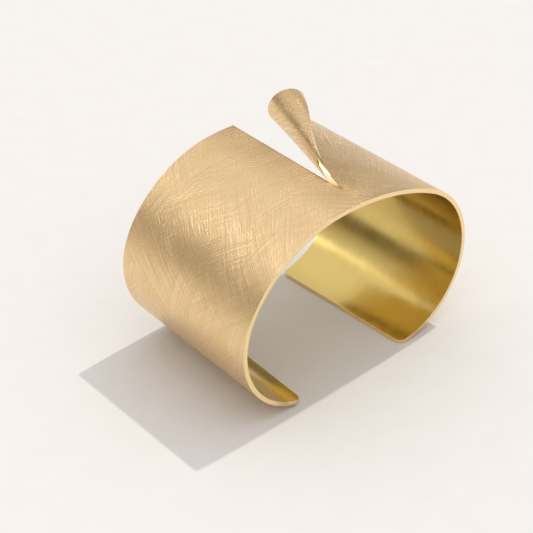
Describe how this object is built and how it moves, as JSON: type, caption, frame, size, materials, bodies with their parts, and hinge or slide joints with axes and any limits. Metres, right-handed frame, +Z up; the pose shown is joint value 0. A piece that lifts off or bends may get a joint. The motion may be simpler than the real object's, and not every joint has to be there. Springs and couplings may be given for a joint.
{
  "type": "cuff bracelet",
  "caption": "Wide oval cuff bracelet of brushed sheet brass, open below, with a slit from one rim and the corner beside it rolled outward.",
  "frame": {"origin": "centre of the footprint, on the surface the bracelet's two end edges stand on", "axes": "+Z up, from the mouth towards the top of the arch; +X across the mouth, from the plain end to the end on the rolled side; +Y along the arm, from the uncut near rim to the slit far rim"},
  "size_m": [0.0652, 0.0408, 0.0496],
  "materials": {
    "brushed_brass": "crosshatch brushed satin outside, polished inside and on the rims"
  },
  "bodies": {
    "root": {"cuff_band": "brushed_brass"}
  },
  "joints": []
}
